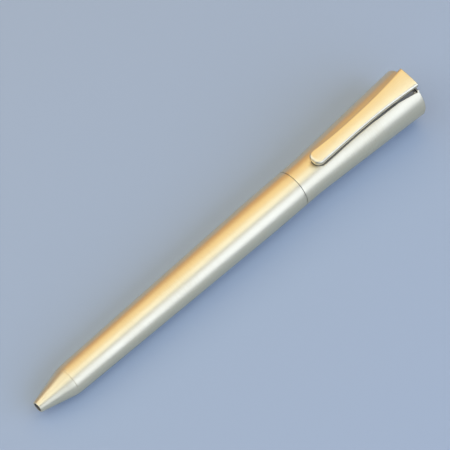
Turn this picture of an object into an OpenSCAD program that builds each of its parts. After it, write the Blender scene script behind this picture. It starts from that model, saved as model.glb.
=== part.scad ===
// Twist-action ballpoint pen: axis along X, nose toward -X, clip toward +Z, origin at the twist seam.

/* [Outside] */
// Nose end to twist seam
barrel_len = 93; // [88:0.5:100]
// Twist seam to flared end
head_len = 44; // [42:0.5:50]
// Outer radius at the seam
seam_r = 5.66; // [5.5:0.01:6.2]
// Straight stretch in front of the seam
grip_len = 12; // [8:0.5:20]
// Outer radius where the nose meets the barrel
neck_r = 4.35; // [4.2:0.01:4.8]
// Length of the nose cone
nose_len = 10.8; // [9:0.1:14]
// Half length of the rounding between nose and barrel
soft = 1.3; // [0.4:0.1:2]
// Outer radius of the nose's flat end
tip_r = 1.63; // [1.5:0.01:2]
// Radius of the writing hole
hole_r = 1.22; // [1.2:0.01:1.35]
// Start of the flare behind the seam
flare_x = 6; // [4:0.1:8]
// Outer radius of the flared end
end_r = 7.65; // [7.2:0.01:8.5]
// Length over which the flare blends in
blend = 5; // [2:0.5:8]
// Edge break on the visible rims
edge = 0.2; // [0.05:0.05:0.4]

/* [Twist] */
// How far the refill moves
stroke = 5.2; // [4:0.1:6]
// How far the head turns
twist = 180; // [120:5:180]
// Point's depth inside the nose when retracted
depth = 2.4; // [1.5:0.1:3]
// Length of the refill
refill_len = 98; // [96:0.1:100]
// Radius of the refill body
refill_r = 2.95; // [2.7:0.05:2.95]
// Radius of the writing ball
ball_r = 0.5; // [0.35:0.05:0.5]
// Radius of the drive pin
pin_r = 0.6; // [0.5:0.05:0.7]
// Side clearance of the pin in its slots
slot_gap = 0.1; // [0.05:0.01:0.2]
// Running clearance between turning tubes
run = 0.05; // [0.03:0.01:0.1]
// Thickness of the seam washer
washer = 0.12; // [0.1:0.01:0.3]

/* [Clip] */
// Clip tip behind the seam
clip_x = 6.8; // [6:0.1:10]
// Thickness of the clip bar
clip_t = 1.6; // [1.2:0.05:1.8]
// Half width of the bar behind its tip
clip_w = 2.35; // [2.1:0.05:2.5]
// Half width of the bar at its waist
waist_w = 2.09; // [1.8:0.01:2.2]
// Half width of the bar at the flared end
clip_end_w = 3.55; // [3.2:0.05:3.7]
// Corner radius of the bar's tip
corner_r = 2; // [0.8:0.1:2.1]
// Gap between bar and head
clip_gap = 0.4; // [0.35:0.05:0.6]
// How far the tip is bent up
lift = 0.7; // [0:0.1:1.2]
// Hinge pin's place behind the seam
hinge_x = 31; // [29:0.5:33]
// Hinge pin's height above the axis
hinge_z = 4.3; // [4:0.1:4.6]
// Half width of the notch at its front
notch_w = 2.6; // [2.5:0.05:2.8]
// Half width of the notch at the flared end
notch_end_w = 4.25; // [4:0.05:4.6]
// Half width of the flat under the bar behind its tip
flat_w = 2.42; // [2.2:0.02:2.5]
// Half width of the flat at the bar's waist
flat_waist_w = 2.3; // [2.2:0.02:2.44]

/* [Springs] */
// Wire radius of the refill spring
wire = 0.18; // [0.15:0.01:0.2]
// Curls of the refill spring
curls = 9; // [6:1:12]
// Wire radius of the clip spring
clip_wire = 0.15; // [0.12:0.01:0.18]
// Curls of the clip spring
clip_curls = 5; // [4:1:6]

/* [Hidden] */
$fn = 96;
tip_x = -barrel_len;
neck_x = tip_x + nose_len;
slope = (end_r - seam_r) / (head_len - flare_x);
tilt = atan(slope);
cone = (neck_r - tip_r) / nose_len;
taper = (seam_r - neck_r) / (barrel_len - nose_len - grip_len);
head_x = washer + 0.07;
bore_r = neck_r - 0.65;
spigot_x = neck_x + 6;
seat_x = tip_x + 4.5;
bush_r = seam_r - 0.8;
bush_x = -10;
guide_r = refill_r + 0.7;
guide_bore = refill_r + 0.17;
cam_bore = guide_r + run;
cam_r = cam_bore + 0.65;
casing_r = cam_r + 0.5;
ball_x = tip_x + depth + ball_r;
refill_end = tip_x + depth + refill_len;
shoulder_x = tip_x + 16;
socket_r = 1.15;
pin_x = refill_end + 5;
cam_end = pin_x + 4.2;
guide_end = cam_end + 1.9;
wall = 0.85;
block_x = 24;
cap_x = head_len - 1.2;
hinge_r = 0.7;
flat_z = 5.8;
waist_x = 20;
notch_x = head_len - 7;
joint = 0.09;
plate_x = head_len - 0.5;
plate_w = notch_end_w + 0.15 - 0.1875 * (notch_end_w - notch_w - 0.22);
plate_z = end_r - 1.05;
spring_x = 38.5;
pocket_z = 2.2;
metal = [0.8, 0.78, 0.72];
brass = [0.8, 0.62, 0.3];
steel = [0.6, 0.6, 0.6];
dark = [0.08, 0.08, 0.09];
grey = [0.33, 0.34, 0.34];

// Radius around the corner between nose and barrel
function shoulder(x) = neck_r + cone * (x - neck_x) + (taper - cone) * pow(x - neck_x + soft, 2) / (4 * soft);

function outer(x) =
    x < flare_x - blend / 2 ? seam_r :
    x < flare_x + blend / 2 ? seam_r + slope * pow(x - flare_x + blend / 2, 2) / (2 * blend) :
    seam_r + slope * (x - flare_x);

// Height of a flat of half width w on the head
function level(x, w) = sqrt(pow(outer(x), 2) - w * w);

// Underside of the clip bar: along the flare, bent up in front of the waist
function under(x) =
    seam_r + clip_gap / cos(tilt) + slope * (x - flare_x) + lift * pow(max(0, (waist_x - x) / 12), 2);

function half(x) =
    x < waist_x ? waist_w + (clip_w - waist_w) * pow((waist_x - x) / 12, 2) :
    waist_w + (clip_end_w - waist_w) * pow((x - waist_x) / (head_len - waist_x), 2.1);

// Centre line of a coil along X, with one straight wire diameter at each end
function coil(r, span, n, w) =
    let (
        steps = 8 * n,
        body = [for (i = [0 : steps]) [span * i / steps, r * cos(45 * i), r * sin(45 * i)]],
        tail = [0, 0, 2 * w]
    )
    concat([body[0] - tail], body, [body[steps] + tail]);

function self_gap(path, w) =
    min([for (i = [0 : len(path) - 6]) for (j = [i + 5 : len(path) - 1]) norm(path[i] - path[j])]) - 2 * w;

function side(i, j, n) = [i * n + j, i * n + (j + 1) % n, (i + 1) * n + (j + 1) % n, (i + 1) * n + j];

// Revolves points given as [position along X, radius]
module turned(points) {
    rotate([0, 90, 0])
        rotate_extrude()
            polygon([for (p = points) [p[1], p[0]]]);
}

module rod(x0, x1, r) {
    translate([x0, 0, 0])
        rotate([0, 90, 0])
            cylinder(h = x1 - x0, r = r);
}

module across(x, z, r, reach) {
    translate([x, -reach, z])
        rotate([-90, 0, 0])
            cylinder(h = 2 * reach, r = r);
}

// Six-sided tube along a path of points
module tube(path, w) {
    n = 6;
    m = len(path);
    points = [
        for (i = [0 : m - 1])
            let (
                t = path[min(i + 1, m - 1)] - path[max(i - 1, 0)],
                ahead = t / norm(t),
                flat = [0, path[i][1], path[i][2]],
                rise = cross(ahead, flat / norm(flat)),
                up = rise / norm(rise),
                out = cross(up, ahead)
            )
            for (j = [0 : n - 1])
                path[i] + w * (cos(360 * j / n) * out + sin(360 * j / n) * up)
    ];
    walls = [
        for (i = [0 : m - 2])
            for (j = [0 : n - 1])
                let (q = side(i, j, n))
                for (f = [[q[0], q[2], q[1]], [q[0], q[3], q[2]]])
                    f
    ];
    first = [for (j = [1 : n - 2]) [0, j, j + 1]];
    last = [for (j = [1 : n - 2]) [(m - 1) * n, (m - 1) * n + j + 1, (m - 1) * n + j]];
    polyhedron(points, concat(walls, first, last));
}

// Cutter for one helical slot, from the retracted pin place to the extended one
module helix(start) {
    steps = 30;
    lead = atan(stroke / (PI * twist / 180 * cam_bore));
    half_w = (pin_r + slot_gap) / cos(lead);
    low = cam_bore - 0.4;
    high = cam_r + 0.4;
    points = [
        for (i = [0 : steps])
            let (
                a = start - twist * i / steps,
                x = pin_x - stroke * i / steps
            )
            for (p = [[-half_w, low], [half_w, low], [half_w, high], [-half_w, high]])
                [x + p[0], p[1] * cos(a), p[1] * sin(a)]
    ];
    walls = [
        for (i = [0 : steps - 1])
            for (j = [0 : 3])
                let (q = side(i, j, 4))
                for (f = [[q[0], q[1], q[2]], [q[0], q[2], q[3]]])
                    f
    ];
    n = steps * 4;
    ends = [[0, 2, 1], [0, 3, 2], [n, n + 1, n + 2], [n, n + 2, n + 3]];
    polyhedron(points, concat(walls, ends));
    for (i = [0, 1])
        translate([pin_x - stroke * i, 0, 0])
            rotate([start - twist * i, 0, 0])
                translate([0, low, 0])
                    rotate([-90, 0, 0])
                        cylinder(h = high - low, r = pin_r + slot_gap);
}

module nose_cone() {
    color(metal)
        turned(concat(
            [[tip_x, hole_r + 0.1], [tip_x, tip_r - 0.12], [tip_x + 0.12, tip_r]],
            [for (i = [0 : 4]) let (x = neck_x - soft + (soft - joint) * i / 4) [x, shoulder(x)]],
            [[neck_x, shoulder(neck_x) - joint], [neck_x, bore_r],
                [spigot_x - 0.3, bore_r], [spigot_x, bore_r - 0.3], [spigot_x, refill_r + 0.1],
                [neck_x - 0.6, refill_r + 0.1], [neck_x - 0.6, 2.1], [seat_x, 2.1], [seat_x, hole_r],
                [tip_x + 0.1, hole_r]]
        ));
}

module barrel_shell() {
    color(metal)
        turned(concat(
            [[neck_x, bore_r], [neck_x, shoulder(neck_x) - joint]],
            [for (i = [0 : 4]) let (x = neck_x + joint + (soft - joint) * i / 4) [x, shoulder(x)]],
            [[-grip_len, seam_r], [-edge / 2, seam_r], [0, seam_r - edge / 2], [0, bush_r],
                [bush_x, bush_r], [bush_x, bush_r - 0.3], [spigot_x + 0.5, bore_r]]
        ));
}

module barrel_bush() {
    color(brass)
        turned([
            [bush_x, guide_r], [bush_x, bush_r - 0.2], [bush_x + 0.2, bush_r],
            [0, bush_r], [0, guide_r]
        ]);
}

module guide_tube() {
    color(brass)
        difference() {
            turned([
                [bush_x + 1, guide_bore], [bush_x + 1, guide_r], [guide_end - 1.4, guide_r],
                [guide_end - 1.4, guide_r - 0.25], [guide_end - 0.9, guide_r - 0.25],
                [guide_end - 0.9, guide_r], [guide_end - 0.2, guide_r],
                [guide_end, guide_r - 0.2], [guide_end, guide_bore]
            ]);
            for (x = [pin_x, pin_x - stroke])
                across(x, 0, pin_r + slot_gap, guide_r + 1);
            translate([pin_x - stroke, -guide_r - 1, -pin_r - slot_gap])
                cube([stroke, 2 * guide_r + 2, 2 * (pin_r + slot_gap)]);
        }
}

module retaining_ring() {
    color(steel)
        difference() {
            turned([
                [guide_end - 1.35, guide_r - 0.23], [guide_end - 1.35, cam_r - 0.15],
                [guide_end - 0.95, cam_r - 0.15], [guide_end - 0.95, guide_r - 0.23]
            ]);
            translate([guide_end - 2, -0.8, 0])
                cube([2, 1.6, cam_r]);
        }
}

module seam_washer() {
    color(grey)
        turned([[0, cam_bore], [0, seam_r - 0.25], [washer, seam_r - 0.25], [washer, cam_bore]]);
}

module refill_spring() {
    path = coil(1.65, shoulder_x - seat_x - 2 * wire - 0.1, curls, wire);
    echo(refill_spring_gap = self_gap(path, wire));
    color(steel)
        translate([seat_x + wire + 0.05, 0, 0])
            tube(path, wire);
}

module refill_point() {
    color(metal)
        difference() {
            turned([
                [ball_x - 0.15, 0], [ball_x - 0.15, 0.56], [ball_x + 0.5, 0.62], [ball_x + 2.3, socket_r],
                [shoulder_x + 4, socket_r], [shoulder_x + 4, 0.5], [ball_x + 1.2, 0.5], [ball_x + 1.2, 0]
            ]);
            translate([ball_x, 0, 0])
                sphere(r = ball_r + 0.02);
            rod(ball_x, ball_x + 2, 0.2);
        }
}

module refill_tube() {
    color(steel)
        turned([
            [shoulder_x, socket_r], [shoulder_x, 2.1], [shoulder_x + 1.6, refill_r],
            [refill_end - 5, refill_r], [refill_end - 5, refill_r - 0.35],
            [shoulder_x + 4, refill_r - 0.35], [shoulder_x + 4, socket_r]
        ]);
}

module refill_ink() {
    color([0.03, 0.04, 0.16])
        turned([
            [shoulder_x + 4, 0], [shoulder_x + 4, refill_r - 0.35], [-24, refill_r - 0.35],
            [-25.5, 0]
        ]);
}

module refill_plug() {
    color(dark)
        difference() {
            turned([
                [refill_end - 9, 0.6], [refill_end - 9, refill_r - 0.55], [refill_end - 8.8, refill_r - 0.35],
                [refill_end - 5, refill_r - 0.35], [refill_end - 5, refill_r], [refill_end - 0.3, refill_r],
                [refill_end, refill_r - 0.3], [refill_end, 0.6]
            ]);
            for (a = [45, 135])
                translate([refill_end - 1.6, 0, 0])
                    rotate([a, 0, 0])
                        translate([0, -4, -0.6])
                            cube([2, 8, 1.2]);
        }
}

module follower() {
    color(dark)
        difference() {
            turned([
                [refill_end, 0], [refill_end, refill_r - 0.2], [refill_end + 0.3, guide_bore - 0.07],
                [pin_x + 3.7, guide_bore - 0.07], [pin_x + 4, guide_bore - 0.37], [pin_x + 4, 1.6],
                [pin_x + 2, 1.6], [pin_x + 2, 0]
            ]);
            across(pin_x, 0, pin_r, 4);
        }
}

module drive_pin() {
    color(steel)
        across(pin_x, 0, pin_r, cam_r - 0.1);
}

module point_ball() {
    color(steel)
        translate([ball_x, 0, 0])
            sphere(r = ball_r);
}

module head_shell() {
    xs = [for (i = [0 : 5]) flare_x - blend / 2 + blend * i / 5];
    edges = [[head_len + 1, notch_end_w + 0.2], [notch_x, notch_w + 0.42], [hinge_x - 2, notch_w],
        [hinge_x - 3.4, notch_w - 0.9]];
    flat = [[clip_x + 0.2, outer(clip_x + 0.2)], [clip_x + 2.4, level(clip_x + 2.4, flat_w)],
        [waist_x, level(waist_x, flat_waist_w)], [hinge_x - 1.4, level(hinge_x - 1.4, notch_w - 0.06)],
        [hinge_x - 1.4, 12], [clip_x + 0.2, 12]];
    color(metal)
        difference() {
            turned(concat(
                [[head_x, casing_r], [head_x, seam_r - edge / 2], [head_x + edge / 2, seam_r - 0.02]],
                [for (x = xs) [x, outer(x)]],
                [[head_len - edge, outer(head_len - edge)], [head_len, end_r - edge],
                    [head_len, end_r - wall], [20, outer(20) - wall], [18, casing_r]]
            ));
            translate([0, 0, 4.4])
                linear_extrude(height = 6)
                    polygon(concat(edges, [for (i = [len(edges) - 1 : -1 : 0]) [edges[i][0], -edges[i][1]]]));
            translate([0, 9, 0])
                rotate([90, 0, 0])
                    linear_extrude(height = 18)
                        polygon(flat);
        }
}

module mech_casing() {
    color(brass)
        turned([
            [head_x + 0.2, cam_r], [head_x + 0.2, casing_r], [guide_end - 0.3, casing_r],
            [guide_end - 0.3, cam_r]
        ]);
}

module cam_sleeve() {
    color(brass)
        difference() {
            turned([[head_x + 0.2, cam_bore], [head_x + 0.2, cam_r], [cam_end, cam_r], [cam_end, cam_bore]]);
            helix(0);
            helix(180);
        }
}

module clip_block() {
    color(grey)
        difference() {
            turned([
                [block_x, 0], [block_x, outer(block_x) - wall], [cap_x, outer(cap_x) - wall], [cap_x, 0]
            ]);
            translate([block_x + 2.6, -9, flat_z])
                cube([30, 18, 9]);
            translate([hinge_x - 2.8, -1.2, hinge_z - 2.2])
                cube([5.9, 2.4, 9]);
            translate([spring_x, 0, pocket_z])
                cylinder(h = 9, r = 1.65);
            across(hinge_x, hinge_z, hinge_r, 9);
        }
}

module clip_pin() {
    color(steel)
        across(hinge_x, hinge_z, hinge_r, 3);
}

module clip_spring() {
    top = under(spring_x - 1.4) - 0.04;
    path = coil(1.2, top - pocket_z - 2 * clip_wire - 0.05, clip_curls, clip_wire);
    echo(clip_spring_gap = self_gap(path, clip_wire));
    color(steel)
        translate([spring_x, 0, pocket_z + clip_wire + 0.02])
            rotate([0, -90, 0])
                tube(path, clip_wire);
}

// Disc in the flared end, with a thin plate that closes the notch's end
module end_cap() {
    color(metal)
        difference() {
            union() {
                turned([
                    [cap_x, 0], [cap_x, outer(cap_x) - wall],
                    [head_len - 0.15, outer(head_len - 0.15) - wall],
                    [head_len, end_r - wall - 0.15], [head_len, 0]
                ]);
                intersection() {
                    turned([
                        [plate_x, 0], [plate_x, outer(plate_x)], [head_len - edge, outer(head_len - edge)],
                        [head_len, end_r - edge], [head_len, 0]
                    ]);
                    translate([plate_x, -plate_w, 4.6])
                        cube([1, 2 * plate_w, 9]);
                }
            }
            translate([cap_x - 1, -9, flat_z])
                cube([plate_x - cap_x + 1, 18, 9]);
            translate([cap_x - 1, -9, plate_z])
                cube([9, 18, 9]);
        }
}

module clip() {
    end_x = head_len - 0.1;
    xs = [for (i = [0 : 6]) clip_x + (waist_x - clip_x) * i / 6];
    back = [for (i = [1 : 8]) waist_x + (end_x - waist_x) * i / 8];
    ways = concat([for (i = [0 : 6]) if (xs[i] > clip_x + corner_r) xs[i]], back);
    start = clip_x + corner_r;
    near = half(start);
    left = concat([[clip_x, near - corner_r], [start, near]], [for (x = ways) [x, half(x)]]);
    right = [for (i = [len(left) - 1 : -1 : 0]) [left[i][0], -left[i][1]]];
    low = [for (x = concat(xs, [end_x])) [x, under(x)]];
    high = [for (i = [len(low) - 1 : -1 : 0]) low[i] + [0, clip_t]];
    color(metal)
        difference() {
            union() {
                intersection() {
                    translate([0, 5, 0])
                        rotate([90, 0, 0])
                            linear_extrude(height = 10)
                                polygon(concat(low, high));
                    union() {
                        linear_extrude(height = 12)
                            polygon(concat(left, right));
                        for (y = [near - corner_r, corner_r - near])
                            translate([start, y, 0])
                                cylinder(h = 12, r = corner_r);
                    }
                }
                translate([hinge_x - 1.8, -1.1, hinge_z])
                    cube([3.6, 2.2, under(hinge_x) - hinge_z + 0.3]);
                across(hinge_x, hinge_z, 1.8, 1.1);
            }
            across(hinge_x, hinge_z, hinge_r + 0.03, 3);
        }
}

nose_cone();
barrel_shell();
barrel_bush();
guide_tube();
retaining_ring();
seam_washer();
refill_spring();
refill_point();
refill_tube();
refill_ink();
refill_plug();
follower();
drive_pin();
point_ball();
head_shell();
mech_casing();
cam_sleeve();
clip_block();
clip_pin();
clip_spring();
end_cap();
clip();
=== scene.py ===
import bpy
import bmesh
from math import radians, sin, cos, sqrt, pi
from mathutils import Matrix, Vector


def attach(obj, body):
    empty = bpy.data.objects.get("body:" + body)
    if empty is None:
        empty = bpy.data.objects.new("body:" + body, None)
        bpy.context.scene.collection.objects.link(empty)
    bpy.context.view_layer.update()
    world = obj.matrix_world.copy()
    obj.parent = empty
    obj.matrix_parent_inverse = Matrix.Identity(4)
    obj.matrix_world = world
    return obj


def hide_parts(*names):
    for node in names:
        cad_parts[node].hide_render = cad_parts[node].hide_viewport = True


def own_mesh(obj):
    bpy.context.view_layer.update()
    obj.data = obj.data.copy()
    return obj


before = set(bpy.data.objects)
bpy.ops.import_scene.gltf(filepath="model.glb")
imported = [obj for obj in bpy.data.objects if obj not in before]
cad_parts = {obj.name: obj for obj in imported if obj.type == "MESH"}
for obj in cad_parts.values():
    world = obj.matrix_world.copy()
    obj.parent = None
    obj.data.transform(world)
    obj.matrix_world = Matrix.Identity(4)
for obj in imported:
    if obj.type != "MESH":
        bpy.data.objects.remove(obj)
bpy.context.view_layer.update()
mm = 0.001
weld = 0.0005 * mm  # points closer than this become one
cutReach = 1e-7  # points closer than this to a cutting plane count as on it
hair = 0.001  # slack in millimetres where points or faces are picked
print("frame loaded:", len(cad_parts), "nodes")

# camera, from the same corner as the picture; round turns it a little about the pen's axis

cameraView = {
    "azimuth": -43.987,
    "elevation": 61.738,
    "round": -3.4,
    "distance": 700 * mm,
    "lens": 209.27,
    "sensor": 36,
    "aim": (-24.5 * mm, 0, 0),
    "slideRight": -0.713 * mm,
    "slideUp": 5.306 * mm,
    "seesFrom": 0.01,
    "seesTo": 20,
}


def placeCamera(v):
    az, el = radians(v["azimuth"]), radians(v["elevation"])
    back = Vector((sin(az) * cos(el), -cos(az) * cos(el), sin(el)))
    right = Vector((cos(az), sin(az), 0))
    up = back.cross(right)
    spot = Vector(v["aim"]) + right * v["slideRight"] + up * v["slideUp"] + back * v["distance"]
    facing = Matrix((right, up, back)).transposed().to_4x4()
    data = bpy.data.cameras.new("penCamera")
    data.lens = v["lens"]
    data.sensor_width = v["sensor"]
    data.clip_start = v["seesFrom"]
    data.clip_end = v["seesTo"]
    cam = bpy.data.objects.new("penCamera", data)
    cam.matrix_world = Matrix.Rotation(radians(v["round"]), 4, "X") @ Matrix.Translation(spot) @ facing
    bpy.context.scene.collection.objects.link(cam)
    bpy.context.scene.camera = cam


placeCamera(cameraView)
bpy.context.scene.view_settings.view_transform = "Standard"
print("camera placed")

# node groups shared by the finishes


def newGroup(name, inputs, outputs):
    group = bpy.data.node_groups.new(name, "ShaderNodeTree")
    for label, kind, value in inputs:
        socket = group.interface.new_socket(label, in_out="INPUT", socket_type=kind)
        socket.default_value = value
    for label, kind in outputs:
        group.interface.new_socket(label, in_out="OUTPUT", socket_type=kind)
    return group, group.nodes.new("NodeGroupInput"), group.nodes.new("NodeGroupOutput")


def addNode(tree, kind, **values):
    # a value goes to the node's own setting of that name, or else to its input
    node = tree.nodes.new(kind)
    for key, value in values.items():
        if hasattr(node, key):
            setattr(node, key, value)
        else:
            node.inputs[key.replace("_", " ")].default_value = value
    return node


def makeGrainGroup():
    # fine lines: Stretch sets how much finer the grain is along X, Y and Z
    g, start, end = newGroup(
        "fineGrain",
        [("Stretch", "NodeSocketVector", (1, 1, 1))],
        [("Height", "NodeSocketFloat")],
    )
    place = addNode(g, "ShaderNodeTexCoord")
    scale = addNode(g, "ShaderNodeVectorMath", operation="MULTIPLY")
    lines = addNode(g, "ShaderNodeTexNoise", Scale=1000.0, Detail=3.0, Roughness=0.6)
    soft = addNode(g, "ShaderNodeMapRange", From_Min=0.3, From_Max=0.7)
    link = g.links.new
    link(place.outputs["Object"], scale.inputs[0])
    link(start.outputs["Stretch"], scale.inputs[1])
    link(scale.outputs[0], lines.inputs["Vector"])
    link(lines.outputs["Fac"], soft.inputs["Value"])
    link(soft.outputs[0], end.inputs["Height"])
    return g


def makeSmudgeGroup():
    # slow cloudy change left by handling
    g, start, end = newGroup(
        "handSmudge",
        [("Size", "NodeSocketFloat", 90.0)],
        [("Mask", "NodeSocketFloat")],
    )
    place = addNode(g, "ShaderNodeTexCoord")
    cloud = addNode(g, "ShaderNodeTexNoise", Detail=4.0, Roughness=0.55)
    spread = addNode(g, "ShaderNodeMapRange", From_Min=0.32, From_Max=0.68)
    link = g.links.new
    link(place.outputs["Object"], cloud.inputs["Vector"])
    link(start.outputs["Size"], cloud.inputs["Scale"])
    link(cloud.outputs["Fac"], spread.inputs["Value"])
    link(spread.outputs[0], end.inputs["Mask"])
    return g


def makeRimGroup():
    # band round the axis at one place along X, for rims that handling has polished
    g, start, end = newGroup(
        "rimBand",
        [("Place", "NodeSocketFloat", 0.0), ("Width", "NodeSocketFloat", 0.0005)],
        [("Mask", "NodeSocketFloat")],
    )
    place = addNode(g, "ShaderNodeTexCoord")
    split = addNode(g, "ShaderNodeSeparateXYZ")
    away = addNode(g, "ShaderNodeMath", operation="SUBTRACT")
    size = addNode(g, "ShaderNodeMath", operation="ABSOLUTE")
    share = addNode(g, "ShaderNodeMath", operation="DIVIDE")
    fade = addNode(g, "ShaderNodeMath", operation="SUBTRACT", use_clamp=True)
    fade.inputs[0].default_value = 1.0
    link = g.links.new
    link(place.outputs["Object"], split.inputs[0])
    link(split.outputs["X"], away.inputs[0])
    link(start.outputs["Place"], away.inputs[1])
    link(away.outputs[0], size.inputs[0])
    link(size.outputs[0], share.inputs[0])
    link(start.outputs["Width"], share.inputs[1])
    link(share.outputs[0], fade.inputs[1])
    link(fade.outputs[0], end.inputs["Mask"])
    return g


grainGroup = makeGrainGroup()
smudgeGroup = makeSmudgeGroup()
rimGroup = makeRimGroup()

# color and tint mix by handling, rough is the range over a surface, smudge the size of the clouds
# depth of the grain and the rims' places along X are in millimetres

satin = dict(
    color=(0.82, 0.73, 0.52), tint=(0.78, 0.68, 0.46), metal=1.0, rough=(0.37, 0.43),
    stretch=(3.5, 0.5, 0.5), depth=0.004, smudge=60.0,
)
finishes = {
    "satinMetal": dict(satin, rims=(-0.05, 43.9)),
    "headMetal": dict(satin, rims=(0.3, 43.9)),
    "clipMetal": dict(
        color=(0.83, 0.74, 0.53), tint=(0.79, 0.69, 0.47), metal=1.0, rough=(0.33, 0.38),
        stretch=(0.4, 4, 4), depth=0.003, smudge=110.0, rims=(43.9,),
    ),
    # darker finish: painted shade inside bores and on the end disc's faces seen through the notch
    "recessShadeMetal": dict(
        color=(0.24, 0.23, 0.21), tint=(0.15, 0.145, 0.135), metal=1.0, rough=(0.5, 0.62),
        stretch=(6, 0.8, 0.8), depth=0.01, smudge=200.0, rims=(),
    ),
    # darker, rougher finish for the flat under the clip: the darker colour is painted shade under the clip
    "flatShadeMetal": dict(
        color=(0.38, 0.37, 0.34), tint=(0.31, 0.30, 0.27), metal=1.0, rough=(0.5, 0.62),
        stretch=(0.8, 3, 3), depth=0.008, smudge=120.0, rims=(),
    ),
    "mechBrass": dict(
        color=(0.74, 0.55, 0.26), tint=(0.60, 0.42, 0.18), metal=1.0, rough=(0.25, 0.42),
        stretch=(9, 1, 1), depth=0.006, smudge=160.0, rims=(),
    ),
    "springSteel": dict(
        color=(0.58, 0.58, 0.59), tint=(0.46, 0.45, 0.45), metal=1.0, rough=(0.2, 0.34),
        stretch=(3, 3, 3), depth=0.003, smudge=300.0, rims=(),
    ),
    "refillMetal": dict(
        color=(0.68, 0.68, 0.68), tint=(0.58, 0.58, 0.60), metal=1.0, rough=(0.22, 0.36),
        stretch=(0.7, 9, 9), depth=0.004, smudge=110.0, rims=(-77.0, 2.4),
    ),
    "pointMetal": dict(
        color=(0.74, 0.70, 0.62), tint=(0.64, 0.59, 0.50), metal=1.0, rough=(0.18, 0.32),
        stretch=(12, 2, 2), depth=0.004, smudge=260.0, rims=(-87.8,),
    ),
    "greyNylon": dict(
        color=(0.33, 0.34, 0.34), tint=(0.27, 0.275, 0.275), metal=0.0, rough=(0.5, 0.62),
        stretch=(4, 4, 4), depth=0.006, smudge=140.0, rims=(),
    ),
    "darkPlastic": dict(
        color=(0.035, 0.035, 0.038), tint=(0.055, 0.054, 0.052), metal=0.0, rough=(0.42, 0.6),
        stretch=(4, 4, 4), depth=0.01, smudge=140.0, rims=(),
    ),
    "inkPaste": dict(
        color=(0.012, 0.016, 0.09), tint=(0.02, 0.025, 0.14), metal=0.0, rough=(0.12, 0.25),
        stretch=(1.5, 1.5, 1.5), depth=0.01, smudge=200.0, rims=(),
    ),
}
rimWidth = 0.45  # reach of the polish on each side of a rim
rimPolish = 0.1  # how much less rough a rim is
grainStrength = 0.5
mixColor = dict(first=6, second=7, result=2)  # a Mix node's sockets for colours


def makeFinish(name, f):
    mat = bpy.data.materials.new(name)
    mat.use_nodes = True
    tree = mat.node_tree
    link = tree.links.new
    shader = tree.nodes["Principled BSDF"]
    shader.inputs["Metallic"].default_value = f["metal"]
    grain = addNode(tree, "ShaderNodeGroup", node_tree=grainGroup)
    grain.inputs["Stretch"].default_value = f["stretch"]
    smudge = addNode(tree, "ShaderNodeGroup", node_tree=smudgeGroup)
    smudge.inputs["Size"].default_value = f["smudge"]
    both = addNode(tree, "ShaderNodeMath", operation="MULTIPLY")
    link(smudge.outputs["Mask"], both.inputs[0])
    link(grain.outputs["Height"], both.inputs[1])
    tone = addNode(tree, "ShaderNodeMix", data_type="RGBA")
    tone.inputs[mixColor["first"]].default_value = (*f["color"], 1)
    tone.inputs[mixColor["second"]].default_value = (*f["tint"], 1)
    link(both.outputs[0], tone.inputs[0])
    link(tone.outputs[mixColor["result"]], shader.inputs["Base Color"])
    gloss = addNode(tree, "ShaderNodeMapRange", To_Min=f["rough"][0], To_Max=f["rough"][1])
    link(smudge.outputs["Mask"], gloss.inputs["Value"])
    last = gloss.outputs[0]
    for place in f["rims"]:
        rim = addNode(tree, "ShaderNodeGroup", node_tree=rimGroup)
        rim.inputs["Place"].default_value = place * mm
        rim.inputs["Width"].default_value = rimWidth * mm
        cut = addNode(tree, "ShaderNodeMath", operation="MULTIPLY_ADD")
        cut.inputs[1].default_value = -rimPolish
        link(rim.outputs["Mask"], cut.inputs[0])
        link(last, cut.inputs[2])
        last = cut.outputs[0]
    link(last, shader.inputs["Roughness"])
    bump = addNode(tree, "ShaderNodeBump", Strength=grainStrength, Distance=f["depth"] * mm)
    link(grain.outputs["Height"], bump.inputs["Height"])
    link(bump.outputs["Normal"], shader.inputs["Normal"])
    return mat


finish = {name: makeFinish(name, f) for name, f in finishes.items()}
print("finishes made:", len(finish))

# shared ways of making a piece; shapes are in millimetres from the seam

towardAxis = -0.6  # a face that looks at the axis at least this much is inside a bore


def weldSkin(bm):
    bmesh.ops.remove_doubles(bm, verts=bm.verts, dist=weld)
    bmesh.ops.recalc_face_normals(bm, faces=bm.faces)


def settle(name, bm, body, looks, node, angle=35, paintBoreShade=False):
    # looks are finishes: the first is the outside's, and the second the bore's where there is one, a darker
    # finish that paints shade into the bore
    weldSkin(bm)
    mesh = bpy.data.meshes.new(name)
    for look in looks:
        mesh.materials.append(finish[look])
    # faces that look at the axis take the darker second finish, painted shade inside the bore
    if paintBoreShade:
        for f in bm.faces:
            c = f.calc_center_median()
            if f.normal.dot(Vector((0, c.y, c.z)).normalized()) < towardAxis:
                f.material_index = 1
    bm.to_mesh(mesh)
    bm.free()
    mesh.shade_smooth()
    mesh.set_sharp_from_angle(angle=radians(angle))
    piece = bpy.data.objects.new(name, mesh)
    bpy.context.scene.collection.objects.link(piece)
    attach(piece, body)
    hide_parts(node)
    return piece


def profileLoop(bm, points, closed=True):
    verts = [bm.verts.new((x * mm, 0, r * mm)) for x, r in points]
    for a, b in zip(verts, verts[1:]):
        bm.edges.new((a, b))
    if closed:
        bm.edges.new((verts[-1], verts[0]))
    return verts


def roundCorners(bm, verts, width, segments=3):
    bmesh.ops.bevel(
        bm, geom=verts, offset=width * mm, offset_type="OFFSET", affect="VERTICES",
        segments=segments, profile=0.5, material=-1,
    )


def spinAll(bm, steps=128):
    bmesh.ops.spin(
        bm, geom=bm.verts[:] + bm.edges[:], cent=(0, 0, 0), axis=(1, 0, 0),
        angle=2 * pi, steps=steps, use_merge=True,
    )


def fillHoles(bm):
    bmesh.ops.holes_fill(bm, edges=[e for e in bm.edges if e.is_boundary], sides=0)


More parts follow.
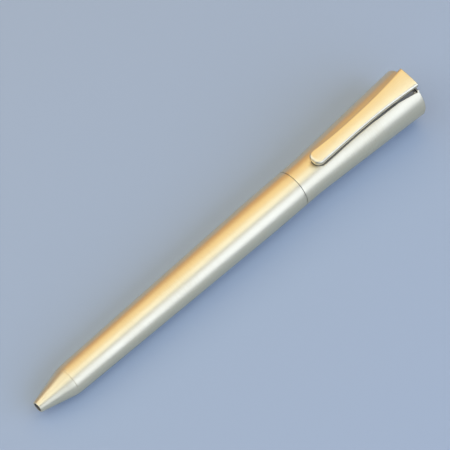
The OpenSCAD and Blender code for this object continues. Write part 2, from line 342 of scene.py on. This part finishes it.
def trim(bm, point, normal):
    # cuts away what lies beyond a plane and closes the cut
    bmesh.ops.bisect_plane(
        bm, geom=bm.verts[:] + bm.edges[:] + bm.faces[:], dist=cutReach,
        plane_co=Vector(point) * mm, plane_no=normal, clear_outer=True,
    )
    fillHoles(bm)


def fuse(first, second):
    # two closed shapes become one skin
    parts = []
    for bm in (first, second):
        weldSkin(bm)
        mesh = bpy.data.meshes.new("part")
        bm.to_mesh(mesh)
        bm.free()
        part = bpy.data.objects.new("part", mesh)
        bpy.context.scene.collection.objects.link(part)
        parts.append(part)
    join = parts[0].modifiers.new("join", "BOOLEAN")
    join.operation = "UNION"
    join.solver = "EXACT"
    join.object = parts[1]
    ready = parts[0].evaluated_get(bpy.context.evaluated_depsgraph_get())
    whole = bmesh.new()
    whole.from_mesh(ready.data)
    for part in parts:
        mesh = part.data
        bpy.data.objects.remove(part)
        bpy.data.meshes.remove(mesh)
    return whole


# outside line of the pen: place along X, radius, reach of the soft blend on each side

tipEnd, neck, gripStart = (-93.0, 1.63, 0), (-82.2, 4.35, 1.3), (-12.0, 5.66, 4.0)
flareStart, rearEnd = (6.0, 5.66, 2.5), (44.0, 7.65, 0)
skinLine = [tipEnd, neck, gripStart, flareStart, rearEnd]
tipX, neckX, endX = tipEnd[0], neck[0], rearEnd[0]
headX = 0.17  # front of the head, behind the seam ring


def slopeOf(a, b):
    return (b[1] - a[1]) / (b[0] - a[0])


def skinRadius(x):
    slopes = [slopeOf(a, b) for a, b in zip(skinLine, skinLine[1:])]
    for i, (place, radius, reach) in enumerate(skinLine[1:-1]):
        if abs(x - place) < reach:
            past = x - place + reach
            return radius + slopes[i] * (x - place) + (slopes[i + 1] - slopes[i]) * past ** 2 / (4 * reach)
    for i, (a, b) in enumerate(zip(skinLine, skinLine[1:])):
        if x <= b[0] or i == len(slopes) - 1:
            return a[1] + slopes[i] * (x - a[0])


def skinPoints(stretches):
    # each stretch of the outside is its first place, its last place and its number of steps
    points = []
    for first, last, steps in stretches:
        places = [first + (last - first) * i / steps for i in range(steps + 1)]
        points += [(x, skinRadius(x)) for x in places]
    return points


noseShape = {
    "skin": [(tipX, neckX, 40)],
    "lip": 0.12, "mouth": 0.1, "joint": 0.09, "spigotEdge": 0.25,
    "holeR": 1.22, "seatX": -88.5, "seatR": 2.1, "stepX": neckX - 0.6,
    "boreR": 3.05, "spigotX": -76.2, "spigotR": 3.7,
}


def makeNose():
    n = noseShape
    bm = bmesh.new()
    skin = skinPoints(n["skin"])
    inside = [
        (neckX, n["spigotR"]), (n["spigotX"], n["spigotR"]), (n["spigotX"], n["boreR"]),
        (n["stepX"], n["boreR"]), (n["stepX"], n["seatR"]),
        (n["seatX"], n["seatR"]), (n["seatX"], n["holeR"]), (tipX, n["holeR"]),
    ]
    verts = profileLoop(bm, skin + inside)
    shoulder = len(skin) - 1
    roundCorners(bm, [verts[shoulder]], n["joint"])
    roundCorners(bm, [verts[shoulder + 2]], n["spigotEdge"], segments=2)
    roundCorners(bm, [verts[0]], n["lip"], segments=4)
    roundCorners(bm, [verts[-1]], n["mouth"])
    spinAll(bm)
    looks = ["satinMetal", "recessShadeMetal"]
    settle("noseShell", bm, "barrel", looks, "nose_cone", paintBoreShade=True)


barrelShape = {
    "skin": [(neckX, neckX + 2, 8), (neckX + 4, -18, 16), (-16, -8, 10), (-6, 0, 3)],
    "joint": 0.09, "seamEdge": 0.04,
    "boreX": -75.7, "boreR": 3.7, "bushX": -10.0, "bushR": 4.86, "bushStep": 0.3,
}


def makeBarrel():
    b = barrelShape
    bm = bmesh.new()
    skin = skinPoints(b["skin"])
    inside = [
        (0, b["bushR"]), (b["bushX"], b["bushR"]), (b["bushX"], b["bushR"] - b["bushStep"]),
        (b["boreX"], b["boreR"]), (neckX, b["boreR"]),
    ]
    verts = profileLoop(bm, skin + inside)
    roundCorners(bm, [verts[len(skin) - 1]], b["seamEdge"])
    roundCorners(bm, [verts[0]], b["joint"])
    spinAll(bm)
    looks = ["satinMetal", "recessShadeMetal"]
    settle("barrelTube", bm, "barrel", looks, "barrel_shell", paintBoreShade=True)


# notch and flat are given by their half width at places along X; cuts reach only the skin above topZ
# an edge of the notch is the outside's down to outerDepth, and the bore's from innerDepth

headShape = {
    "skin": [(headX, 3.25, 4), (3.75, 8.75, 10), (10, 42, 16), (43.2, endX, 1)],
    "steps": 160, "frontEdge": 0.04, "rimEdge": 0.3, "sharp": 19,
    "wall": 0.85, "wallX": 20.0, "casingX": 18.0, "casingR": 4.86,
    "notch": [(27.6, 1.7), (29.0, 2.6), (37.0, 3.02), (45.0, 4.45)],
    "flat": [(7.0, 0.0), (9.2, 2.42), (20.0, 2.3), (29.6, 2.54)],
    "topZ": 3, "pastEnd": endX + 1, "outerDepth": 0.6, "innerDepth": 0.65,
}


def notchHalf(x):
    line = headShape["notch"]
    for a, b in zip(line, line[1:]):
        if x <= b[0]:
            return a[1] + (b[1] - a[1]) * (x - a[0]) / (b[0] - a[0])


def scoreTop(bm, first, last, point, normal):
    # cuts edges into the head's upper faces between two places, along a plane
    faces = []
    for f in bm.faces:
        c = f.calc_center_median() / mm
        if c.z > headShape["topZ"] and first < c.x < last:
            faces.append(f)
    geom = faces + list({e for f in faces for e in f.edges}) + list({v for f in faces for v in f.verts})
    bmesh.ops.bisect_plane(bm, geom=geom, dist=cutReach, plane_co=Vector(point) * mm, plane_no=normal)


def cutFlat(bm, look):
    # flat along the flare under the clip; its faces take a darker finish, painted shade under the clip
    h = headShape
    line = [(x, sqrt(skinRadius(x) ** 2 - half ** 2)) for x, half in h["flat"]]
    for x, _ in line:
        scoreTop(bm, 0, h["pastEnd"], (x, 0, 0), (1, 0, 0))
    for (x0, z0), (x1, z1) in zip(line, line[1:]):
        slope = (z1 - z0) / (x1 - x0)
        scoreTop(bm, x0, x1, (x0, 0, z0), Vector((-slope, 0, 1)).normalized())
        for f in bm.faces:
            c = f.calc_center_median() / mm
            if x0 < c.x < x1 and c.z > z0 + slope * (c.x - x0) + hair:
                f.material_index = look
        for v in bm.verts:
            x, y, z = v.co / mm
            if x0 - hair < x < x1 + hair:
                v.co.z = min(z, z0 + slope * (x - x0)) * mm


def cutNotch(bm):
    # open notch under the clip: square cuts at its places, slanted ones between them, then walls
    h = headShape
    line = h["notch"]
    for x, _ in line[:-1]:
        scoreTop(bm, h["wallX"], h["pastEnd"], (x, 0, 0), (1, 0, 0))
    for (x0, y0), (x1, y1) in zip(line, line[1:]):
        for side in (1, -1):
            along = Vector((x1 - x0, side * (y1 - y0), 0)).normalized()
            scoreTop(bm, x0, x1, (x0, side * y0, 0), along.cross(Vector((0, 0, 1))))
    gone = []
    for f in bm.faces:
        c = f.calc_center_median() / mm
        if c.z > h["topZ"] and c.x > line[0][0] and abs(c.y) < notchHalf(c.x):
            gone.append(f)
    bmesh.ops.delete(bm, geom=gone, context="FACES")
    rims = [e for e in bm.edges if e.is_boundary]
    depth = {}
    for v in {v for e in rims for v in e.verts}:
        x, y, z = v.co / mm
        depth[v] = skinRadius(x) - sqrt(y ** 2 + z ** 2)
    outside = [e for e in rims if all(depth[v] < h["outerDepth"] for v in e.verts)]
    inside = [e for e in rims if all(depth[v] > h["innerDepth"] for v in e.verts)]
    bmesh.ops.bridge_loops(bm, edges=outside + inside)
    fillHoles(bm)


def makeHead():
    h = headShape
    bm = bmesh.new()
    skin = skinPoints(h["skin"])
    inside = [
        (endX, skinRadius(endX) - h["wall"]), (h["wallX"], skinRadius(h["wallX"]) - h["wall"]),
        (h["casingX"], h["casingR"]), (headX, h["casingR"]),
    ]
    verts = profileLoop(bm, skin + inside)
    rear = verts[len(skin) - 1:len(skin) + 1]
    roundCorners(bm, rear, h["rimEdge"], segments=5)
    roundCorners(bm, verts[:1], h["frontEdge"])
    spinAll(bm, h["steps"])
    bmesh.ops.remove_doubles(bm, verts=bm.verts, dist=weld)
    # the flat under the clip takes the third finish, painted shade
    looks = ["headMetal", "recessShadeMetal", "flatShadeMetal"]
    cutFlat(bm, looks.index("flatShadeMetal"))
    cutNotch(bm)
    settle("headShell", bm, "head", looks, "head_shell", h["sharp"], paintBoreShade=True)


# W values are half widths; the tip lifts and widens over bend, and the rear widens late by spread

clipShape = {
    "tipX": 6.8, "endX": 43.9, "thick": 1.6, "tipW": 2.34, "waistW": 2.09, "endW": 3.54, "cornerR": 2.0,
    "waistX": 20.0, "bend": 12, "spread": 2.1, "gap": 0.4, "lift": 0.7,
    "crown": 0.2, "crownCuts": 9, "topEdge": 0.55, "tipEdge": 1.0, "lowEdge": 0.12, "rearEdge": 0.1,
    "tipSteps": 10, "barSteps": 40, "rearSteps": 3, "sharp": 42,
    "hingeX": 31.0, "hingeZ": 4.3, "lugW": 1.1, "lugR": 1.8, "lugSides": 48, "lugSink": 0.35,
}


def clipHalf(x):
    c = clipShape
    if x < c["waistX"]:
        return c["waistW"] + (c["tipW"] - c["waistW"]) * ((c["waistX"] - x) / c["bend"]) ** 2
    share = (x - c["waistX"]) / (endX - c["waistX"])
    return c["waistW"] + (c["endW"] - c["waistW"]) * share ** c["spread"]


def clipUnder(x):
    # along the flare, bent up in front of the waist
    c = clipShape
    flare = flareStart[1] + slopeOf(flareStart, rearEnd) * (x - flareStart[0])
    return flare + c["gap"] + c["lift"] * max(0, (c["waistX"] - x) / c["bend"]) ** 2


def clipStations():
    # place along X, half width, underside and height of the bar, from its rounded tip to its square end
    c = clipShape
    start = c["tipX"] + c["cornerR"]
    rows = []
    for i in range(c["tipSteps"] + 1):
        a = pi / 2 * i / c["tipSteps"]
        x = start - c["cornerR"] * cos(a)
        past = max(0, x - c["tipX"])
        deep = max(0, 1 - past / c["tipEdge"])
        low = max(0, 1 - past / c["lowEdge"])
        drop = c["tipEdge"] * (1 - sqrt(1 - deep ** 2))
        rise = c["lowEdge"] * (1 - sqrt(1 - low ** 2))
        half = clipHalf(start) - c["cornerR"] * (1 - sin(a))
        rows.append((x, half, clipUnder(x) + rise, c["thick"] - drop - rise))
    for i in range(1, c["barSteps"] + 1):
        x = start + (c["endX"] - c["rearEdge"] - start) * i / c["barSteps"]
        rows.append((x, clipHalf(x), clipUnder(x), c["thick"]))
    for i in range(1, c["rearSteps"] + 1):
        a = pi / 2 * i / c["rearSteps"]
        inset = c["rearEdge"] * (1 - cos(a))
        x = c["endX"] - c["rearEdge"] * (1 - sin(a))
        rows.append((x, clipHalf(x) - inset, clipUnder(x) + inset, c["thick"] - 2 * inset))
    return rows


def clipSection(bm):
    # closed line across the bar: flat below, softly crowned above
    c = clipShape
    w, top = c["waistW"], c["thick"] - c["crown"]
    verts = [bm.verts.new((0, y * mm, z * mm)) for y, z in ((-w, 0), (w, 0), (w, top), (-w, top))]
    for a, b in zip(verts, verts[1:] + verts[:1]):
        bm.edges.new((a, b))
    roundCorners(bm, verts[:2], c["lowEdge"], segments=2)
    roundCorners(bm, verts[2:], c["topEdge"], segments=5)
    wide = [e for e in bm.edges if all(abs(v.co.z - top * mm) < hair * mm for v in e.verts)]
    bmesh.ops.subdivide_edges(bm, edges=wide, cuts=c["crownCuts"])
    for v in bm.verts:
        if v.co.z > top / 2 * mm:
            v.co.z += c["crown"] * mm * (1 - (v.co.y / (w * mm)) ** 2)


def makeLug():
    # lug that goes down into the head and round the hinge pin
    c = clipShape
    bm = bmesh.new()
    turn = Matrix.Translation((c["hingeX"] * mm, 0, c["hingeZ"] * mm)) @ Matrix.Rotation(pi / 2, 4, "X")
    made = bmesh.ops.create_cone(
        bm, cap_ends=True, segments=c["lugSides"], radius1=c["lugR"] * mm, radius2=c["lugR"] * mm,
        depth=2 * c["lugW"] * mm, matrix=turn,
    )["verts"]
    top = (clipUnder(c["hingeX"]) + c["lugSink"]) * mm
    for v in made:
        if v.co.z > (c["hingeZ"] + hair) * mm:
            side = 1 if v.co.x > c["hingeX"] * mm else -1
            v.co.x = (c["hingeX"] + side * c["lugR"]) * mm
            v.co.z = top
    return bm


def makeClip():
    # the section is drawn out along the bar, fitted to each station's width and height
    c = clipShape
    bm = bmesh.new()
    clipSection(bm)
    verts, edges = bm.verts[:], bm.edges[:]
    wasHalf, wasUnder, wasHigh = c["waistW"], 0, c["thick"]
    for i, (x, half, under, high) in enumerate(clipStations()):
        if i:
            grown = bmesh.ops.extrude_edge_only(bm, edges=edges)["geom"]
            verts = [g for g in grown if isinstance(g, bmesh.types.BMVert)]
            edges = [g for g in grown if isinstance(g, bmesh.types.BMEdge)]
        for v in verts:
            y, z = v.co.y / mm, v.co.z / mm
            v.co = Vector((x, y * half / wasHalf, under + (z - wasUnder) * high / wasHigh)) * mm
        wasHalf, wasUnder, wasHigh = half, under, high
    fillHoles(bm)
    settle("clipBar", fuse(bm, makeLug()), "clip", ["clipMetal"], "clip", c["sharp"])


capShape = {
    "frontX": 42.8, "gap": 0.88, "edge": 0.12, "flatZ": 5.8, "rimBand": 0.8, "rings": (0.6, 0.25),
    "plateX": 43.5, "plateZ": 6.6, "plateW": 4.17, "plateRoot": 4.6, "plateSides": 160,
    "innerFacing": -0.9, "upFacing": 0.99,
}


def makePlate():
    # thin plate that closes the notch's end
    k = capShape
    bm = bmesh.new()
    turn = Matrix.Translation(((k["plateX"] + endX) / 2 * mm, 0, 0)) @ Matrix.Rotation(pi / 2, 4, "Y")
    bmesh.ops.create_cone(
        bm, cap_ends=True, segments=k["plateSides"], radius1=skinRadius(k["plateX"]) * mm,
        radius2=skinRadius(endX) * mm, depth=(endX - k["plateX"]) * mm, matrix=turn,
    )
    trim(bm, (0, 0, k["plateZ"]), (0, 0, 1))
    trim(bm, (0, 0, k["plateRoot"]), (0, 0, -1))
    for side in (1, -1):
        trim(bm, (0, side * k["plateW"], 0), (0, side, 0))
    return bm


def makeCap():
    # disc level with the clip's carrier, and its plate
    k = capShape
    rim = skinRadius(endX) - k["gap"]
    corners = [(k["frontX"], 0), (k["frontX"], skinRadius(k["frontX"]) - k["gap"]), (endX, rim)]
    corners += [(endX, rim - k["rimBand"])] + [(endX, rim * share) for share in k["rings"]] + [(endX, 0)]
    bm = bmesh.new()
    verts = profileLoop(bm, corners, closed=False)
    roundCorners(bm, [verts[2]], k["edge"])
    spinAll(bm)
    bmesh.ops.remove_doubles(bm, verts=bm.verts, dist=weld)
    trim(bm, (0, 0, k["flatZ"]), (0, 0, 1))
    looks = ["satinMetal", "recessShadeMetal"]
    piece = settle("endDisc", fuse(bm, makePlate()), "head", looks, "end_cap")
    # the disc's front face and its top flat take the darker finish: painted shade seen through the notch
    # under the clip
    for f in piece.data.polygons:
        f.material_index = int(f.normal.x < k["innerFacing"] or f.normal.z > k["upFacing"])


seamShape = {"thick": 0.12, "rimR": 5.5, "boreR": 3.7, "edge": 0.04}


def makeSeam():
    s = seamShape
    bm = bmesh.new()
    corners = [(0, s["boreR"]), (0, s["rimR"]), (s["thick"], s["rimR"]), (s["thick"], s["boreR"])]
    verts = profileLoop(bm, corners)
    roundCorners(bm, verts[1:3], s["edge"], segments=2)
    spinAll(bm)
    settle("seamRing", bm, "barrel", ["greyNylon"], "seam_washer")


# lip, neck, bore and feed are placed from the ball's centre

pointShape = {
    "ballX": -90.1, "ballR": 0.5, "play": 0.02, "lip": 0.15, "lipR": 0.56, "neck": 0.5, "neckR": 0.62,
    "coneX": -87.8, "coneEnd": 0.5, "step": 0.15, "bodyR": 1.15, "rearX": -73.0,
    "bore": 1.2, "boreR": 0.5, "feed": 0.48, "feedR": 0.2,
    "lipEdge": 0.04, "coneEdge": 0.15, "bodyEdge": 0.08, "steps": 64,
}


def makePoint():
    # stepped cone whose lip is rolled in round the ball
    p = pointShape
    bm = bmesh.new()
    ballX, seatR = p["ballX"], p["ballR"] + p["play"]
    outside = [
        (ballX - p["lip"], sqrt(seatR ** 2 - p["lip"] ** 2)), (ballX - p["lip"], p["lipR"]),
        (ballX + p["neck"], p["neckR"]), (p["coneX"] - p["coneEnd"], p["bodyR"] - p["step"]),
        (p["coneX"], p["bodyR"] - p["step"]), (p["coneX"], p["bodyR"]), (p["rearX"], p["bodyR"]),
    ]
    inside = [
        (p["rearX"], p["boreR"]), (ballX + p["bore"], p["boreR"]), (ballX + p["bore"], p["feedR"]),
        (ballX + p["feed"], p["feedR"]), (ballX, seatR),
    ]
    verts = profileLoop(bm, outside + inside)
    roundCorners(bm, [verts[1]], p["lipEdge"])
    roundCorners(bm, [verts[3]], p["coneEdge"])
    roundCorners(bm, [verts[5]], p["bodyEdge"])
    spinAll(bm, p["steps"])
    settle("pointTip", bm, "refill", ["pointMetal"], "refill_point")


springShapes = {
    "refillCoil": dict(
        node="refill_spring", body="barrel", joint="refill_slide", axis=(1, 0, 0), first=-88.45, last=-77.05,
        foot=(0, 0, 0), coilR=1.65, wireR=0.18, curls=7, keep=0.545,
    ),
    "clipCoil": dict(
        node="clip_spring", body="head", joint="clip_rock", axis=(0, 0, 1), first=2.22, last=7.6,
        foot=(38.5, 0, 0), coilR=1.2, wireR=0.15, curls=4, keep=0.86,
    ),
}
wireShape = {"sides": 12, "stepsPerCurl": 28, "flatRise": 2.1, "sharp": 60}  # flatRise in wire radii


def makeSpring(name, s):
    # wire ring screwed round the axis: one flat curl, the open curls, one flat curl
    w = wireShape
    bm = bmesh.new()
    axis, foot = Vector(s["axis"]), Vector(s["foot"])
    out = Vector((0, 0, 1)) if s["axis"][0] else Vector((1, 0, 0))
    start = foot + axis * (s["first"] + s["wireR"]) + out * s["coilR"]
    square = Matrix((out, axis, out.cross(axis))).transposed().to_4x4()
    bmesh.ops.create_circle(
        bm, cap_ends=False, segments=w["sides"], radius=s["wireR"] * mm,
        matrix=Matrix.Translation(start * mm) @ square,
    )
    flatRise = w["flatRise"] * s["wireR"]
    openRise = s["last"] - s["first"] - 2 * s["wireR"] - 2 * flatRise
    ring = bm.verts[:] + bm.edges[:]
    for rise, curls in ((flatRise, 1), (openRise, s["curls"]), (flatRise, 1)):
        steps = w["stepsPerCurl"] * curls
        ring = bmesh.ops.spin(
            bm, geom=ring, cent=foot * mm, axis=axis, dvec=axis * rise / steps * mm,
            angle=2 * pi * curls, steps=steps, use_merge=False,
        )["geom_last"]
    fillHoles(bm)
    piece = settle(name, bm, s["body"], ["springSteel"], s["node"], w["sharp"])
    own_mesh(piece)


makeNose()
makeBarrel()
makeHead()
makeClip()
makeCap()
makeSeam()
makePoint()
for name, s in springShapes.items():
    makeSpring(name, s)
print("pieces made")

# finishes of the pieces that stay as they are

innerFinish = {
    "mechBrass": ("barrel_bush", "guide_tube", "mech_casing", "cam_sleeve"),
    "springSteel": ("retaining_ring", "drive_pin", "clip_pin", "point_ball"),
    "refillMetal": ("refill_tube",),
    "darkPlastic": ("refill_plug", "follower"),
    "greyNylon": ("clip_block",),
    "inkPaste": ("refill_ink",),
}
for name, nodes in innerFinish.items():
    for node in nodes:
        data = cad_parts[node].data
        data.materials.clear()
        data.materials.append(finish[name])
print("inner pieces finished")

# floor under the flared rim and the front of the barrel, a hair below them

floorSet = {"size": 2.4, "squares": 8, "below": 0.02, "color": (0.36, 0.44, 0.57), "rough": 0.75}


def makeFloor(f):
    bm = bmesh.new()
    bmesh.ops.create_grid(bm, x_segments=f["squares"], y_segments=f["squares"], size=f["size"])
    lean = Matrix(((1, 0, 0, 0), (0, 1, 0, 0), (-slopeOf(neck, rearEnd), 0, 1, 0), (0, 0, 0, 1)))
    low = Matrix.Translation((endX * mm, 0, -(rearEnd[1] + f["below"]) * mm))
    bmesh.ops.transform(bm, verts=bm.verts, matrix=low @ lean)
    mesh = bpy.data.meshes.new("floor")
    bm.to_mesh(mesh)
    bm.free()
    floor = bpy.data.objects.new("floor", mesh)
    bpy.context.scene.collection.objects.link(floor)
    mat = bpy.data.materials.new("paleFloor")
    mat.use_nodes = True
    shader = mat.node_tree.nodes["Principled BSDF"]
    shader.inputs["Base Color"].default_value = (*f["color"], 1)
    shader.inputs["Roughness"].default_value = f["rough"]
    mesh.materials.append(mat)


makeFloor(floorSet)
print("floor laid")

# broad soft lamps: amber and gold on the far side, cream above and in front, cool on the near side
# together they show a white card that faces up as white
# round is the angle from straight up toward the near side, ahead the place along X in metres
# away is the distance from the axis, lean a tilt toward the pen, and glow the lamp's brightness

lampAway = 0.62
lampSet = {
    "amberLow": dict(round=-72, ahead=0.37, size=(0.84, 0.38), glow=0.68, color=(1.0, 0.49, 0.01)),
    "goldHigh": dict(round=-35, ahead=0.35, size=(0.88, 0.46), glow=1.15, color=(1.0, 0.74, 0.31)),
    "creamAbove": dict(round=4, ahead=-0.05, size=(1.5, 0.38), glow=1.36, color=(1.0, 1.0, 0.88)),
    "coolNear": dict(round=57, ahead=0.38, size=(1.04, 0.56), glow=1.45, color=(0.89, 1.03, 1.37)),
    "coolFront": dict(round=57, ahead=-0.42, size=(0.56, 0.56), glow=0.85, color=(0.92, 1.05, 1.26)),
    "amberFront": dict(round=-76, ahead=-0.4, size=(0.6, 0.3), glow=0.4, color=(1.0, 0.51, 0.03)),
    "creamFront": dict(round=-38, ahead=-0.4, size=(0.6, 0.44), glow=1.3, color=(1.0, 0.96, 0.80)),
    "paleFront": dict(
        round=-46, ahead=-0.75, size=(0.5, 0.7), glow=1.1, color=(1.0, 1.0, 1.0), away=0.42, lean=61,
    ),
}
worldLight = dict(color=(0.39, 0.57, 1.0), strength=0.18)


def makeLamps(lamps, world):
    for name, s in lamps.items():
        wide, high = s["size"]
        data = bpy.data.lights.new(name, "AREA")
        data.shape = "RECTANGLE"
        data.size, data.size_y = wide, high
        data.energy = s["glow"] * wide * high * pi
        data.color = s["color"]
        lamp = bpy.data.objects.new(name, data)
        reach = Matrix.Translation((s["ahead"], 0, s.get("away", lampAway)))
        lean = Matrix.Rotation(radians(-s.get("lean", 0)), 4, "Y")
        lamp.matrix_world = Matrix.Rotation(radians(s["round"]), 4, "X") @ reach @ lean
        bpy.context.scene.collection.objects.link(lamp)
    sky = bpy.data.worlds.new("studio")
    sky.use_nodes = True
    back = sky.node_tree.nodes["Background"]
    back.inputs["Color"].default_value = (*world["color"], 1)
    back.inputs["Strength"].default_value = world["strength"]
    bpy.context.scene.world = sky


makeLamps(lampSet, worldLight)
print("light set")
